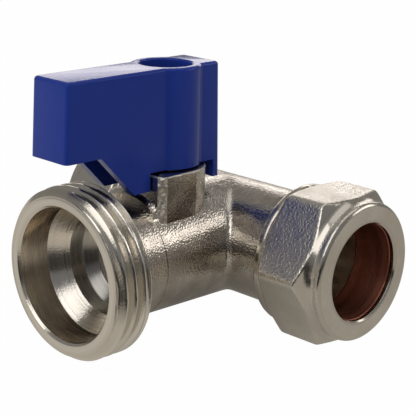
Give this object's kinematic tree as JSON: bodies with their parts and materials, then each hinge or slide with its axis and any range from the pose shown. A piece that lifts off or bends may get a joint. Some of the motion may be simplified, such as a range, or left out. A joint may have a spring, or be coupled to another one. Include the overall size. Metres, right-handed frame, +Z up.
{
  "type": "tee ball valve",
  "caption": "Tee ball valve: compression pipe run with a quarter-turn ball valve on its threaded outlet branch, worked by a small blue lever.",
  "frame": {"origin": "centre of the outlet's mouth, on the plane of its rim", "axes": "-Y out of the outlet, X along the pipe run, +Z up the valve stem towards the lever"},
  "size_m": [0.0578, 0.0499, 0.0427],
  "materials": {
    "nickel_forged": "nickel plate over forged brass, satin and slightly grained",
    "nickel_turned": "nickel plate over turned brass, bright tool marks",
    "nickel_nut": "nickel plate over forged and turned brass, satin flats",
    "ptfe": "white fluoroplastic",
    "chrome_ball": "hard chrome, polished",
    "brass_turned": "bare turned brass",
    "black_rubber": "smooth nitrile rubber",
    "blue_plastic": "deep blue moulded nylon, glossy",
    "zinc_steel": "zinc-plated steel",
    "copper": "copper, dull red-brown"
  },
  "bodies": {
    "valve_body": {"body": "nickel_forged", "seat_retainer": "nickel_turned", "outlet_seat": "ptfe", "inlet_seat": "ptfe"},
    "lever": {"lever": "blue_plastic", "lever_screw": "zinc_steel", "screw_washer": "zinc_steel", "stem": "brass_turned", "thrust_washer": "ptfe", "lower_o_ring": "black_rubber", "upper_o_ring": "black_rubber"},
    "ball": {"ball": "chrome_ball"},
    "right_olive": {"right_olive": "copper"},
    "right_nut": {"right_nut": "nickel_nut"},
    "left_olive": {"left_olive": "copper"},
    "left_nut": {"left_nut": "nickel_nut"}
  },
  "joints": [
    {"name": "lever_turn", "type": "hinge", "parent": "valve_body", "child": "lever", "pos_m": [0, 0.0205, 0], "axis": [0, 0, 1], "range_deg": [-90, 0]},
    {"name": "ball_turn", "type": "hinge", "parent": "valve_body", "child": "ball", "pos_m": [0, 0.0205, 0], "axis": [0, 0, 1], "range_deg": [-90, 0]},
    {"name": "right_olive_slide", "type": "slide", "parent": "valve_body", "child": "right_olive", "axis": [1, 0, 0], "range_m": [0, 0.00601]},
    {"name": "right_nut_turn", "type": "hinge", "parent": "right_olive", "child": "right_nut", "pos_m": [0.0225, 0.035, 0], "axis": [1, 0, 0], "range_deg": [0, 1440]},
    {"name": "left_olive_slide", "type": "slide", "parent": "valve_body", "child": "left_olive", "axis": [-1, 0, 0], "range_m": [0, 0.00601]},
    {"name": "left_nut_turn", "type": "hinge", "parent": "left_olive", "child": "left_nut", "pos_m": [-0.0225, 0.035, 0], "axis": [-1, 0, 0], "range_deg": [0, 1440]}
  ],
  "couplings": [
    {"joint": "ball_turn", "follows": "lever_turn", "ratio": 1},
    {"joint": "right_olive_slide", "follows": "right_nut_turn", "m_per_rad": 0.00023873},
    {"joint": "left_olive_slide", "follows": "left_nut_turn", "m_per_rad": 0.00023873}
  ]
}
